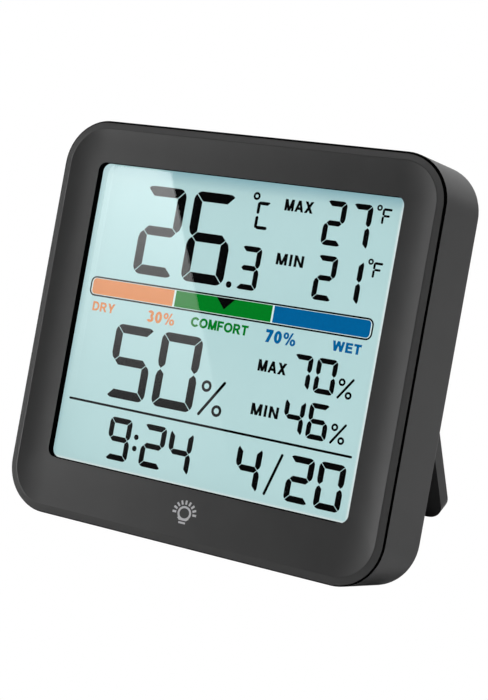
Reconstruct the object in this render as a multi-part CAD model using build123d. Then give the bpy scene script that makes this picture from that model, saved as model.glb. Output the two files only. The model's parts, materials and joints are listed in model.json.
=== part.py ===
from build123d import *
import math
import os

# A table-top temperature and humidity monitor that leans back on a fold-out stand.
# Every piece is drawn upright, as if the monitor stood straight: x to the right, y from the face
# towards the back and z up, with the middle of the front outline at zero. The whole set then leans
# back until the rubber feet and the end of the stand share one floor.

# Housing outline
body_width = 110.0
body_height = 102.4
body_depth = 19.8
outline_radius = 12.0
rear_edge_radius = 1.0
wall = 1.8
overrun = 2.0

# How it stands
lean_angle = 19.2
stand_angle = 36.4
foot_drop = 0.2

# Front lip of the rear shell, which stands back a little from the bezel that it surrounds
lip_thickness = 0.18
lip_setback = 0.6
lip_gap = 0.12
lip_depth = 1.4
bezel_step = 0.7
bezel_fit = 0.1

# Front bezel: sloping rim, dished field and display window
rim_width = 1.9
rim_rise = 0.3
dish_drop = 0.9
dish_power = 2.4
dish_steps = 6
side_field = 8.5
bottom_field = 12.4
window_radius = 2.2
window_wall_depth = 2.15
skirt_fit = 0.15
skirt_thickness = 1.2
skirt_depth = 3.3

# Screws that pull the shell onto the bezel
housing_screw_inset = 6.5
boss_radius = 2.6
boss_length = 5.2
post_radius = 3.2
post_floor = 1.5
screw_radius = 1.0
screw_length = 6.0
screw_head_radius = 2.2
screw_head_height = 1.7
screw_slot_width = 0.6
screw_slot_depth = 0.7
pilot_clearance = 0.05
screw_clearance = 0.3
head_clearance = 0.4

# Display stack, from the clear lens back to the reflector
lens_thickness = 1.0
lens_overlap = 1.2
stack_gap = 0.05
lcd_thickness = 1.6
lcd_overlap = 0.9
lcd_contact_height = 2.1
guide_thickness = 1.2
guide_inset = 0.8
reflector_thickness = 0.2
holder_wall = 1.3
holder_radius = 2.4
holder_fit = 0.2
holder_depth = 3.2
strip_height = 1.7
strip_share = 0.88
led_width = 3.6
led_height = 1.1
led_thickness = 1.4
led_shares = (-0.32, 0, 0.32)
led_notch_gap = 0.4

# Main board and what stands on it
board_thickness = 1.2
board_side_gap = 0.6
board_edge_gap = 1.4
board_bay_gap = 0.5
board_screw_inset = 1.4
board_screw_gap = 2.7
board_screw_radius = 0.8
board_screw_head_radius = 1.5
board_screw_head_height = 1.0
board_screw_length = 3.6
board_boss_radius = 1.6
chip_radius = 6.0
chip_height = 1.3
chip_flat_share = 0.45
chip_place_shares = (0.22, 0.1)
crystal_radius = 1.0
crystal_length = 6.0
crystal_place_shares = (0.22, -0.04)
component_size = (2.0, 1.2, 0.8)
component_place_shares = (
    (-0.36, 0.3),
    (-0.3, 0.3),
    (-0.36, 0.22),
    (0.06, 0.16),
    (0.06, 0.1),
    (0.06, 0.04),
    (0.36, 0.24),
    (0.36, 0.18),
    (-0.2, -0.46),
    (0.2, -0.46),
)
touch_spring_radius = 2.6
touch_spring_wall = 0.5
touch_spring_height = 8.0

# Sensor on its own small board behind the vent slots
sensor_board_width = 12.0
sensor_board_height = 10.0
sensor_board_thickness = 1.0
sensor_board_lift = 3.0
sensor_size = 3.0
sensor_height = 1.1
sensor_port_radius = 0.5
sensor_port_depth = 0.3
pin_size = 0.6
pin_pitch = 2.54
pin_count = 4
vent_count = 6
vent_length = 12.0
vent_width = 1.5
vent_pitch = 3.2
vent_x = -18.0
vent_z = 12.0

# Rear buttons and the switches behind them
button_names = ("mode_button", "up_button", "down_button", "unit_button")
button_pitch = 15.0
button_drop = 9.2
button_radius = 3.1
button_proud = 0.4
button_bevel = 0.3
button_fit = 0.15
button_flange = 0.9
button_flange_thickness = 1.0
button_flange_gap = 0.1
button_travel = 0.5
button_dish_depth = 0.25
button_dish_share = 0.7
switch_size = 6.0
switch_height = 3.4
switch_stem_radius = 1.6

# Fold-out stand, a flat frame that lies in a trench in the back
stand_half_width = 40.0
stand_thickness = 4.7
arm_width = 9.0
crossbar_height = 9.0
stand_corner_radius = 4.6
stand_inner_radius = 3.0
stand_bevel = 0.6
hinge_height = 31.3
heel_length = 4.0
heel_gap = 0.05
trunnion_radius = 1.3
trunnion_length = 2.2
trunnion_clearance = 0.05
trunnion_end_gap = 0.2
trench_side_gap = 0.3
trench_floor_gap = 0.3
trench_heel_gap = 0.25
trench_wall = 1.4
hinge_block = 3.2
hinge_block_height = 8.0

# Battery bay, its cells and contacts
cell_length = 44.5
cell_nub_radius = 1.9
cell_nub_length = 0.8
cell_gap = 0.4
bay_half_length = 26.0
bay_floor = 1.0
bay_wall = 1.2
bay_floor_gap = 0.05
bay_door_gap = 0.2
contact_thickness = 0.4
contact_side_inset = 1.25
contact_edge_inset = 2.05
contact_boss_radius = 2.2
contact_boss_height = 1.0
leaf_thickness = 0.35
leaf_side_inset = 2.25
leaf_edge_inset = 2.45
leaf_nose = 1.2
leaf_tail_share = 0.45

# Battery door, which slides down into the empty trench
door_thickness = 1.1
door_overlap = 2.3
door_gap = 0.15
door_radius = 1.5
door_travel = 8.0
tongue_width = 1.5
tongue_inset = 1.1
tongue_thickness = 0.9
tongue_reach = 1.5
tongue_rise_height = 1.2
tongue_wall_gap = 0.2
grip_count = 5
grip_width = 16.0
grip_height = 0.9
grip_pitch = 2.0
grip_depth = 0.35
grip_inset = 5.0

# Keyhole for hanging on a wall screw
keyhole_radius = 4.0
keyhole_slot_radius = 2.1
keyhole_rise = 7.0
keyhole_z = 8.0

# Rubber feet under the back edge
foot_width = 2.0
foot_length = 2.0
foot_set = 0.5
foot_x = 39.3
foot_rear_inset = 0.7

# Places that follow from the sizes above
half_width = body_width / 2
half_height = body_height / 2
bezel_inset = lip_thickness + lip_gap
rim_inner_inset = bezel_inset + rim_width
window_half_width = half_width - rim_inner_inset - side_field
window_top = half_height - rim_inner_inset - side_field
window_bottom = rim_inner_inset + bottom_field - half_height
window_front = dish_drop - rim_rise
bezel_back = window_front + window_wall_depth
rear_inside = body_depth - wall
post_front = bezel_back + boss_length
screw_x = half_width - housing_screw_inset
screw_z = half_height - housing_screw_inset
lcd_front = bezel_back + lens_thickness + stack_gap
lcd_step = lcd_front + lcd_thickness / 2
lcd_back = lcd_front + lcd_thickness
lcd_top = window_top + lcd_contact_height
guide_front = lcd_back + stack_gap
reflector_front = guide_front + guide_thickness + stack_gap
board_front = reflector_front + reflector_thickness + stack_gap
board_back = board_front + board_thickness
board_half_width = screw_x - post_radius - board_side_gap
board_half_height = half_height - wall - skirt_fit - skirt_thickness - board_edge_gap / 2
trench_floor = body_depth - stand_thickness - trench_floor_gap
trench_inside = trench_floor - trench_wall
hinge_y = body_depth - stand_thickness / 2
trench_top = hinge_height + math.hypot(heel_length, stand_thickness / 2) + trench_heel_gap
trench_half_width = stand_half_width + trench_side_gap
island_half_width = stand_half_width - arm_width - trench_side_gap
splay = stand_angle - lean_angle
door_front = body_depth - door_thickness
bay_front = board_front
cell_front = bay_front + bay_floor + bay_floor_gap
cell_radius = (door_front - bay_door_gap - cell_front) / 2
cell_y = cell_front + cell_radius
contact_width = 2 * (cell_radius - contact_side_inset)
contact_height = 2 * (cell_radius - contact_edge_inset)
leaf_width = 2 * (cell_radius - leaf_side_inset)
leaf_half_height = cell_radius - leaf_edge_inset
cell_pitch = 2 * cell_radius + cell_gap
bay_half_height = cell_pitch / 2 + cell_radius + cell_gap
button_x = button_pitch * (len(button_names) - 1) / 2
button_z = half_height - button_drop
board_screw_x = button_x + switch_size / 2 + board_screw_head_radius + board_screw_gap
touch_z = (window_bottom - half_height + rim_inner_inset) / 2


def leaned_height(y, z):
    """Height above the level of the origin, once the monitor leans back."""
    lean = math.radians(lean_angle)
    return z * math.cos(lean) - y * math.sin(lean)


def floor_height():
    """Level of the floor: the rear bottom edge, less the drop of the rubber feet."""
    edge_centre = leaned_height(body_depth - rear_edge_radius, rear_edge_radius - half_height)
    return edge_centre - rear_edge_radius - foot_drop


def stand_length():
    """From the hinge to the end of the stand, so that its inner edge meets the floor."""
    tilt = math.radians(splay)
    hinge = leaned_height(hinge_y, hinge_height)
    return (hinge - stand_thickness / 2 * math.sin(tilt) - floor_height()) / math.cos(tilt)


stand_end = hinge_height - stand_length()
crossbar_top = stand_end + crossbar_height
island_bottom = crossbar_top + trench_side_gap
bay_z = island_bottom + trench_wall + bay_wall + bay_half_height
door_top = bay_z + bay_half_height + door_overlap
door_half_width = bay_half_length + door_overlap


def slab(sketch, front, back):
    """A sketch in the face plane, carried from one depth back to another."""
    return extrude(Plane.XZ.offset(-front) * sketch, amount=front - back)


def outline(inset, radius=None):
    """The body's rounded outline, drawn in by an inset."""
    corner = outline_radius - inset if radius is None else radius
    return RectangleRounded(body_width - 2 * inset, body_height - 2 * inset, corner)


def panel(x_half, bottom, top, radius):
    """A rounded rectangle on the centre line, between two heights."""
    return Pos(0, (top + bottom) / 2) * RectangleRounded(2 * x_half, top - bottom, radius)


def block(x_low, x_high, y_low, y_high, z_low, z_high):
    """A plain box between three pairs of limits."""
    size = (x_high - x_low, y_high - y_low, z_high - z_low)
    centre = ((x_low + x_high) / 2, (y_low + y_high) / 2, (z_low + z_high) / 2)
    return Pos(*centre) * Box(*size)


def rod(radius, front, back, x, z):
    """A round bar that runs straight back from the face."""
    return slab(Pos(x, z) * Circle(radius), front, back)


def at_corners(make):
    """The same piece at the four housing screws."""
    return [make(sx * screw_x, sz * screw_z) for sx in (-1, 1) for sz in (-1, 1)]


def total(pieces):
    """One solid out of pieces that meet."""
    whole = pieces[0]
    for piece in pieces[1:]:
        whole = whole + piece
    return whole


def dish_outline(share):
    """Outline of the dished field, from the rim at 0 to the window at 1."""
    x_half = half_width - rim_inner_inset - side_field * share
    top = half_height - rim_inner_inset - side_field * share
    bottom = rim_inner_inset - half_height + bottom_field * share
    rim_radius = outline_radius - rim_inner_inset
    return panel(x_half, bottom, top, rim_radius + (window_radius - rim_radius) * share)


def dish_depth(share):
    """Depth of the dished field: steep beside the rim and flat beside the window."""
    return dish_drop * (1 - (1 - share) ** dish_power) - rim_rise


def dish():
    """The space that the dished field takes out of the bezel."""
    shares = [step / dish_steps for step in range(dish_steps + 1)]
    faces = [Plane.XZ.offset(-dish_depth(share)) * dish_outline(share) for share in shares]
    return loft(faces) + slab(dish_outline(0), -rim_rise - overrun, -rim_rise)


def front_bezel():
    """Dished front frame with its rim, window, skirt and bosses."""
    rim_faces = [
        Plane.XZ * outline(bezel_inset),
        Plane.XZ.offset(rim_rise) * outline(rim_inner_inset),
    ]
    step_depth = lip_depth - bezel_fit
    plate = slab(outline(bezel_inset), 0, step_depth) + loft(rim_faces, ruled=True)
    plate += slab(outline(bezel_inset + bezel_step), step_depth, bezel_back)
    window = panel(window_half_width, window_bottom, window_top, window_radius)
    plate = plate - dish() - slab(window, 0, bezel_back + overrun)
    skirt_inset = wall + skirt_fit
    skirt = slab(outline(skirt_inset), bezel_back, bezel_back + skirt_depth)
    skirt -= slab(outline(skirt_inset + skirt_thickness), 0, body_depth)
    bosses = total(at_corners(lambda x, z: rod(boss_radius, bezel_back, post_front, x, z)))
    bosses = bosses & slab(outline(skirt_inset), bezel_back, post_front)
    for x, z in board_screw_places():
        bosses += rod(board_boss_radius, bezel_back, board_front, x, z)
        bosses -= rod(board_screw_radius + pilot_clearance, bezel_back, board_front, x, z)
    pilots = at_corners(lambda x, z: rod(screw_radius + pilot_clearance, bezel_back, post_front, x, z))
    return plate + skirt + bosses - total(pilots)


def trench_outline(spread):
    """The stand's bed in the back, wider by a spread all round, open at the bottom edge."""
    x_half = trench_half_width + spread
    bottom = stand_end - trench_side_gap - spread
    radius = stand_corner_radius + trench_side_gap + spread
    outer = panel(x_half, bottom, trench_top + spread, radius)
    square = Pos(0, hinge_height) * Rectangle(2 * x_half, 2 * (trench_top + spread - hinge_height))
    inner_half = island_half_width - spread
    inner_bottom = island_bottom + spread
    inner_height = 2 * (trench_top - inner_bottom)
    inner_radius = stand_inner_radius - trench_side_gap - spread
    inner = panel(inner_half, inner_bottom, inner_bottom + inner_height, inner_radius)
    return outer + square - inner


def trench():
    """The stand's bed, with its way out through the bottom edge."""
    notch_half = trench_half_width - (stand_corner_radius + trench_side_gap) / 2
    notch = block(-notch_half, notch_half, trench_floor, body_depth + overrun,
                  -half_height - overrun, crossbar_top)
    return slab(trench_outline(0), trench_floor, body_depth + overrun) + notch


def shell_cavity():
    """The hollow inside the rear shell, less the walls that stand in it."""
    room = slab(outline(wall), bezel_back - overrun, rear_inside)
    room -= slab(trench_outline(trench_wall), trench_inside, body_depth)
    bay_half = bay_half_length + bay_wall
    bay_rise = bay_half_height + bay_wall
    room -= block(-bay_half, bay_half, bay_front, body_depth, bay_z - bay_rise, bay_z + bay_rise)
    for side in (-1, 1):
        inner = side * trench_half_width
        outer = side * (trench_half_width + hinge_block)
        room -= block(min(inner, outer), max(inner, outer), trench_inside, body_depth,
                      hinge_height - hinge_block_height / 2, hinge_height + hinge_block_height / 2)
    return room - total(at_corners(lambda x, z: rod(post_radius, post_front, body_depth, x, z)))


def keyhole():
    """Round entry for a screw head with a narrow slot above it."""
    front = rear_inside - overrun
    back = body_depth + overrun
    slot = Pos(0, keyhole_z + keyhole_rise / 2) * Rectangle(2 * keyhole_slot_radius, keyhole_rise)
    top = Pos(0, keyhole_z + keyhole_rise) * Circle(keyhole_slot_radius)
    return slab(Pos(0, keyhole_z) * Circle(keyhole_radius) + slot + top, front, back)


def vent_slots():
    """Slots that let room air reach the sensor."""
    first = vent_z - vent_pitch * (vent_count - 1) / 2
    one = Rectangle(vent_length, vent_width)
    rows = [Pos(vent_x, first + vent_pitch * row) * one for row in range(vent_count)]
    return [slab(row, rear_inside - overrun, body_depth + overrun) for row in rows]


def bay_space():
    """The battery bay, the recess that the door lies in and the slots for its tongues."""
    space = block(-bay_half_length, bay_half_length, bay_front + bay_floor, body_depth,
                  bay_z - bay_half_height, bay_z + bay_half_height)
    space += block(-door_half_width - door_gap, door_half_width + door_gap, door_front - door_gap / 2,
                   body_depth + overrun, island_bottom - overrun, door_top + door_gap)
    for side in (-1, 1):
        x = side * tongue_x()
        half = tongue_width / 2 + tongue_wall_gap
        space += block(x - half, x + half, tongue_front() - tongue_wall_gap, rear_inside,
                       bay_z + bay_half_height - overrun, door_top + tongue_reach + tongue_wall_gap)
    return space


def foot_places():
    """Middle of each rubber foot under the bottom wall: x and y."""
    y = body_depth - foot_rear_inset - foot_length / 2
    return [(side * foot_x, y) for side in (-1, 1)]


def foot_block(x, y, bottom):
    """A foot's block, from its bed in the bottom wall down to a level."""
    return block(x - foot_width / 2, x + foot_width / 2, y - foot_length / 2, y + foot_length / 2,
                 bottom, foot_set - half_height)


def rear_shell():
    """Deep rear half with the stand's bed, battery bay, keyhole, vents and button holes."""
    body = slab(outline(0), lip_setback, body_depth)
    rear_edges = body.faces().sort_by(Axis.Y)[-1].edges()
    body = fillet(rear_edges, rear_edge_radius)
    body -= slab(outline(lip_thickness), 0, lip_depth)
    body -= slab(outline(bezel_inset + bezel_step - bezel_fit), 0, bezel_back)
    body -= shell_cavity()
    body -= trench()
    body -= bay_space()
    body -= keyhole()
    for slot in vent_slots():
        body -= slot
    for x in button_places():
        body -= rod(button_radius + button_fit, rear_inside - overrun, body_depth + overrun, x, button_z)
    for hole in at_corners(lambda x, z: rod(screw_radius + screw_clearance, 0, body_depth, x, z)):
        body -= hole
    seat = post_front + post_floor
    wide = screw_head_radius + head_clearance
    for well in at_corners(lambda x, z: rod(wide, seat, body_depth + overrun, x, z)):
        body -= well
    body -= hinge_holes()
    for x, y in foot_places():
        body -= foot_block(x, y, -half_height - overrun)
    return body


def hinge_holes():
    """Blind holes for the stand's trunnions in the outer walls of its bed."""
    reach = stand_half_width + trunnion_length + trunnion_end_gap
    bar = Plane.YZ * Pos(hinge_y, hinge_height) * Circle(trunnion_radius + trunnion_clearance)
    bar = extrude(bar, amount=reach, both=True)
    inner = stand_half_width - arm_width / 2
    keep = block(-inner, inner, 0, body_depth + overrun, 0, half_height)
    return bar - keep


def display_lens():
    """Clear window behind the bezel."""
    sketch = panel(window_half_width + lens_overlap, window_bottom - lens_overlap,
                   window_top + lens_overlap, window_radius + lens_overlap)
    return slab(sketch, bezel_back, bezel_back + lens_thickness)


def lcd_limits():
    """Half width, bottom and top of the display glass."""
    return window_half_width + lcd_overlap, window_bottom - lcd_overlap, lcd_top


def lcd_glass():
    """Display cell: a front glass, and a rear glass that leaves a contact ledge at the top."""
    x_half, bottom, top = lcd_limits()
    front = block(-x_half, x_half, lcd_front, lcd_step, bottom, top)
    rear = block(-x_half, x_half, lcd_step, lcd_back, bottom, top - lcd_contact_height)
    return front + rear


def guide_limits():
    """Half width, bottom and top of the light guide."""
    x_half, bottom, top = lcd_limits()
    return x_half - guide_inset, bottom + guide_inset, top - lcd_contact_height - guide_inset


def light_guide():
    """Clear plate that spreads the backlight."""
    x_half, bottom, top = guide_limits()
    return block(-x_half, x_half, guide_front, guide_front + guide_thickness, bottom, top)


def reflector_sheet():
    """White film behind the light guide."""
    x_half, bottom, top = guide_limits()
    return block(-x_half, x_half, reflector_front, reflector_front + reflector_thickness, bottom, top)


def led_places():
    """Middle of each backlight lamp along the board."""
    return [share * body_width for share in led_shares]


def led_top():
    """Level of the lamps' upper face, just under the light guide."""
    return guide_limits()[1] - stack_gap


def backlight_leds():
    """Side-firing lamps under the lower edge of the light guide."""
    z_high = led_top()
    z_low = z_high - led_height
    y_low = board_front - led_thickness
    return [block(x - led_width / 2, x + led_width / 2, y_low, board_front, z_low, z_high)
            for x in led_places()]


def display_holder():
    """White frame that keeps the display glass and the light guide in line."""
    x_half, bottom, top = lcd_limits()
    inner = Pos(0, (top + bottom) / 2) * Rectangle(2 * (x_half + holder_fit), top - bottom + 2 * holder_fit)
    reach = holder_fit + holder_wall
    outer = panel(x_half + reach, bottom - reach, top + reach, holder_radius)
    front = board_front - holder_depth
    frame = slab(outer, front, board_front) - slab(inner, 0, body_depth)
    for x in led_places():
        half = led_width / 2 + led_notch_gap
        frame -= block(x - half, x + half, board_front - led_thickness - led_notch_gap, body_depth,
                       bottom - reach - overrun, bottom + overrun)
    return frame


def contact_strips():
    """Rubber strip that joins the display's contacts to the board."""
    x_half, bottom, top = lcd_limits()
    gap = (lcd_contact_height - strip_height) / 2
    half = x_half * strip_share
    return block(-half, half, lcd_step, board_front, top - gap - strip_height, top - gap)


def board_screw_places():
    """Middle of each board screw: one above the display and one below, on opposite sides."""
    z = board_half_height - board_screw_inset
    return [(-board_screw_x, z), (board_screw_x, -z)]


def main_board():
    """Circuit board with a cut-out for the battery bay."""
    board = block(-board_half_width, board_half_width, board_front, board_back,
                  -board_half_height, board_half_height)
    gap = bay_wall + board_bay_gap
    board -= block(-bay_half_length - gap, bay_half_length + gap, 0, body_depth,
                   bay_z - bay_half_height - gap, bay_z + bay_half_height + gap)
    for x, z in board_screw_places():
        board -= rod(board_screw_radius + pilot_clearance, 0, body_depth, x, z)
    return board


def on_board(place_share):
    """A place on the back of the board, given as shares of the body's width and height."""
    return place_share[0] * body_width, place_share[1] * body_height


def controller_chip():
    """Low dome of potting over the controller."""
    x, z = on_board(chip_place_shares)
    foot = Plane.XZ.offset(-board_back) * Pos(x, z) * Circle(chip_radius)
    top = Plane.XZ.offset(-board_back - chip_height) * Pos(x, z) * Circle(chip_radius * chip_flat_share)
    return loft([foot, top], ruled=True)


def clock_crystal():
    """Small can that keeps the clock's time, lying on the board."""
    x, z = on_board(crystal_place_shares)
    can = Plane.YZ * Pos(board_back + crystal_radius, z) * Circle(crystal_radius)
    return Pos(x, 0, 0) * extrude(can, amount=crystal_length)


def board_components():
    """Small chips scattered on the back of the board."""
    width, height, depth = component_size
    pieces = []
    for share in component_place_shares:
        x, z = on_board(share)
        pieces.append(block(x - width / 2, x + width / 2, board_back, board_back + depth,
                            z - height / 2, z + height / 2))
    return pieces


def touch_spring():
    """Sprung sleeve that carries the touch key's signal from the bezel to the board."""
    outer = rod(touch_spring_radius, bezel_back, board_front, 0, touch_z)
    inner = rod(touch_spring_radius - touch_spring_wall, bezel_back, board_front, 0, touch_z)
    return outer - inner


def sensor_front():
    """Depth of the sensor board's front face."""
    return board_back + sensor_board_lift


def sensor_board():
    """Small board that holds the sensor off the warm main board."""
    half_w = sensor_board_width / 2
    half_h = sensor_board_height / 2
    return block(vent_x - half_w, vent_x + half_w, sensor_front(), sensor_front() + sensor_board_thickness,
                 vent_z - half_h, vent_z + half_h)


def humidity_sensor():
    """Temperature and humidity sensor with its port facing the vents."""
    front = sensor_front() + sensor_board_thickness
    back = front + sensor_height
    half = sensor_size / 2
    case = block(vent_x - half, vent_x + half, front, back, vent_z - half, vent_z + half)
    return case - rod(sensor_port_radius, back - sensor_port_depth, back + overrun, vent_x, vent_z)


def sensor_pins():
    """Row of pins between the main board and the sensor board."""
    z = vent_z - sensor_board_height / 2 + pin_size
    first = vent_x - pin_pitch * (pin_count - 1) / 2
    half = pin_size / 2
    places = [first + pin_pitch * index for index in range(pin_count)]
    return [block(x - half, x + half, board_back, sensor_front(), z - half, z + half) for x in places]


def button_places():
    """Middle of each rear button across the back."""
    return [button_pitch * index - button_x for index in range(len(button_names))]


def button_front():
    """Depth of the buttons' front face, inside the rear wall."""
    return rear_inside - button_flange_gap - button_flange_thickness


def key_switches():
    """Push switches on the board, each with a long stem that ends behind a rear button."""
    half = switch_size / 2
    tip = button_front() - button_travel - button_flange_gap / 2
    pieces = []
    for x in button_places():
        case = block(x - half, x + half, board_back, board_back + switch_height,
                     button_z - half, button_z + half)
        pieces.append(case + rod(switch_stem_radius, board_back + switch_height, tip, x, button_z))
    return pieces


def rear_button(x):
    """Round button with a flange inside the shell and a shallow dish for the fingertip."""
    back = body_depth + button_proud
    front = button_front()
    cap = rod(button_radius, front, back, x, button_z)
    cap = chamfer(cap.faces().sort_by(Axis.Y)[-1].edges(), button_bevel)
    cap += rod(button_radius + button_flange, front, front + button_flange_thickness, x, button_z)
    dish_radius = button_radius * button_dish_share
    ball = (dish_radius**2 + button_dish_depth**2) / (2 * button_dish_depth)
    return cap - Pos(x, back + ball - button_dish_depth, button_z) * Sphere(ball)


def stand_outline():
    """The stand's flat outline when it is folded: two arms and a crossbar."""
    outer = panel(stand_half_width, stand_end, hinge_height, stand_corner_radius)
    top_height = hinge_height + heel_length - crossbar_top
    arms = Pos(0, crossbar_top + top_height / 2) * Rectangle(2 * stand_half_width, top_height)
    inner_half = stand_half_width - arm_width
    gap = panel(inner_half, crossbar_top, hinge_height + 2 * heel_length, stand_inner_radius)
    return outer + arms - gap


def folded_stand():
    """The stand as it lies in its bed, flush with the back."""
    front = body_depth - stand_thickness
    frame = slab(stand_outline(), front, body_depth)
    outer_face = frame.faces().sort_by(Axis.Y)[-1]
    frame = chamfer(outer_face.edges(), stand_bevel)
    turn = math.radians(stand_angle)
    bevel_reach = hinge_y - trench_floor - heel_gap
    cutter = block(-body_width, body_width, -body_depth, -bevel_reach, -body_height, body_height)
    heel = block(-body_width, body_width, 0, body_depth, hinge_height, body_height)
    bevel = Pos(0, hinge_y, hinge_height) * Rot(math.degrees(-turn), 0, 0) * cutter
    frame -= bevel & heel
    for side in (-1, 1):
        pin = Plane.YZ.offset(side * stand_half_width) * Pos(hinge_y, hinge_height) * Circle(trunnion_radius)
        frame += extrude(pin, amount=side * trunnion_length)
    return frame


def stand_frame():
    """The stand, opened against its stop."""
    to_hinge = Pos(0, hinge_y, hinge_height)
    return to_hinge * Rot(stand_angle, 0, 0) * to_hinge.inverse() * folded_stand()


def tongue_x():
    """Middle of a door tongue, in the room beside the ends of the cells."""
    return bay_half_length - tongue_inset


def tongue_front():
    """Depth of the tongues' inner face, under the rear wall."""
    return rear_inside - tongue_wall_gap - tongue_thickness


def battery_door():
    """Sliding door with grip grooves and two tongues that hook under the rear wall."""
    sketch = panel(door_half_width, island_bottom, door_top, door_radius)
    door = slab(sketch, door_front, body_depth)
    for row in range(grip_count):
        z = door_top - grip_inset - grip_pitch * row
        door -= block(-grip_width / 2, grip_width / 2, body_depth - grip_depth, body_depth + overrun,
                      z - grip_height / 2, z + grip_height / 2)
    riser_top = bay_z + bay_half_height - tongue_wall_gap
    for side in (-1, 1):
        x = side * tongue_x()
        low = x - tongue_width / 2
        high = x + tongue_width / 2
        door += block(low, high, tongue_front(), door_front, riser_top - tongue_rise_height, riser_top)
        door += block(low, high, tongue_front(), tongue_front() + tongue_thickness,
                      riser_top - tongue_rise_height, door_top + tongue_reach)
    return door


def cell_heights():
    """Middle of the upper and of the lower cell."""
    return bay_z + cell_pitch / 2, bay_z - cell_pitch / 2


def cell(side, z):
    """Small round cell lying across the bay, with its nub towards one side."""
    can_length = cell_length - cell_nub_length
    nub_end = side * (bay_half_length - contact_thickness - contact_boss_height)
    face = Plane.YZ.offset(nub_end - side * cell_length) * Pos(cell_y, z) * Circle(cell_radius)
    can = extrude(face, amount=side * can_length)
    nub_plane = Plane.YZ.offset(nub_end - side * cell_nub_length)
    nub = extrude(nub_plane * Pos(cell_y, z) * Circle(cell_nub_radius), amount=side * cell_nub_length)
    return can + nub


def battery_plates():
    """Metal plates at the ends of the bay, each with a boss where it meets a cell's nub."""
    half = contact_width / 2
    plates = []
    for z, nub_side in zip(cell_heights(), (1, -1)):
        for side in (-1, 1):
            inner = side * (bay_half_length - contact_thickness)
            outer = side * bay_half_length
            plate = block(min(inner, outer), max(inner, outer), cell_y - contact_height / 2,
                          cell_y + contact_height / 2, z - half, z + half)
            if side == nub_side:
                boss = Plane.YZ.offset(inner) * Pos(cell_y, z) * Circle(contact_boss_radius)
                plate += extrude(boss, amount=-side * contact_boss_height)
            plates.append(plate)
    return plates


def leaf_spring(side, z):
    """Bent strip that presses on the flat end of a cell, drawn in plan and given its width."""
    room = 2 * bay_half_length - cell_length - 2 * contact_thickness - contact_boss_height
    plate = bay_half_length - contact_thickness
    base = side * (plate - leaf_thickness / 2)
    nose = side * (plate - room + leaf_thickness / 2)
    tail = side * (plate - room * leaf_tail_share)
    bend = leaf_half_height - leaf_thickness
    places = [
        (base, cell_y - leaf_half_height),
        (base, cell_y + bend),
        (nose, cell_y + leaf_nose / 2),
        (nose, cell_y - leaf_nose / 2),
        (tail, cell_y - bend),
    ]
    strip = trace(Polyline(*places), line_width=leaf_thickness)
    return extrude(Plane.XY.offset(z - leaf_width / 2) * strip, amount=leaf_width)


def battery_springs():
    """One bent strip for each cell."""
    upper, lower = cell_heights()
    return [leaf_spring(-1, upper), leaf_spring(1, lower)]


def rubber_feet():
    """Two wedge-shaped feet, ground flat where the monitor stands."""
    feet = []
    ground = floor_cutter()
    for x, y in foot_places():
        feet.append(foot_block(x, y, -half_height - foot_length) - ground)
    return feet


def floor_cutter():
    """Everything below the floor, drawn in the upright position."""
    level = Pos(0, 0, floor_height() - body_height / 2) * Box(2 * body_width, 2 * body_width, body_height)
    return Rot(lean_angle, 0, 0) * level


def screw(radius, head_radius, head_height, length, x, z, seat):
    """A slotted pan-head screw, driven in from the back, with its head on a seat."""
    shape = rod(head_radius, seat, seat + head_height, x, z)
    half = screw_slot_width / 2
    back = seat + head_height
    shape -= block(x - head_radius, x + head_radius, back - screw_slot_depth, back + overrun, z - half, z + half)
    return shape + rod(radius, seat - length, seat, x, z)


def housing_screws():
    """Four screws down the deep wells in the back."""
    seat = post_front + post_floor
    return at_corners(lambda x, z: screw(screw_radius, screw_head_radius, screw_head_height,
                                         screw_length, x, z, seat))


def board_screws():
    """Screws that hold the main board to the bezel."""
    return [screw(board_screw_radius, board_screw_head_radius, board_screw_head_height,
                  board_screw_length, x, z, board_back) for x, z in board_screw_places()]


def build_nodes():
    """Every piece by its node's name, still upright."""
    upper, lower = cell_heights()
    nodes = {
        "front_bezel": front_bezel(),
        "rear_shell": rear_shell(),
        "display_lens": display_lens(),
        "lcd_glass": lcd_glass(),
        "display_holder": display_holder(),
        "light_guide": light_guide(),
        "reflector_sheet": reflector_sheet(),
        "backlight_leds": backlight_leds(),
        "contact_strips": contact_strips(),
        "main_board": main_board(),
        "controller_chip": controller_chip(),
        "clock_crystal": clock_crystal(),
        "board_components": board_components(),
        "touch_spring": touch_spring(),
        "sensor_board": sensor_board(),
        "humidity_sensor": humidity_sensor(),
        "sensor_pins": sensor_pins(),
        "key_switches": key_switches(),
        "battery_door": battery_door(),
        "battery_upper": cell(1, upper),
        "battery_lower": cell(-1, lower),
        "battery_plates": battery_plates(),
        "battery_springs": battery_springs(),
        "stand_frame": stand_frame(),
        "rubber_feet": rubber_feet(),
        "housing_screws": housing_screws(),
        "board_screws": board_screws(),
    }
    for name, x in zip(button_names, button_places()):
        nodes[name] = rear_button(x)
    return nodes


def leaned_depth(y, z):
    """Depth behind the origin, once the monitor leans back."""
    lean = math.radians(lean_angle)
    return y * math.cos(lean) + z * math.sin(lean)


def depth_middle():
    """Middle of the leaned monitor's depth, from its lower front edge to the end of the stand."""
    tilt = math.radians(splay)
    along = (stand_length() - stand_bevel) * math.sin(tilt)
    back = leaned_depth(hinge_y, hinge_height) + along + stand_thickness / 2 * math.cos(tilt)
    front = leaned_depth(0, bezel_inset - half_height)
    return (front + back) / 2


def standing():
    """The move from the upright drawing to the leaning monitor on its floor."""
    return Pos(0, -depth_middle(), -floor_height()) * Rot(-lean_angle, 0, 0)


def main():
    os.makedirs("parts", exist_ok=True)
    place = standing()
    for name, shape in build_nodes().items():
        solids = shape if isinstance(shape, list) else [shape]
        export_step(Compound(children=[place * solid for solid in solids]), f"parts/{name}.step")


main()
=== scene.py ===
import json
import math

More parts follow.
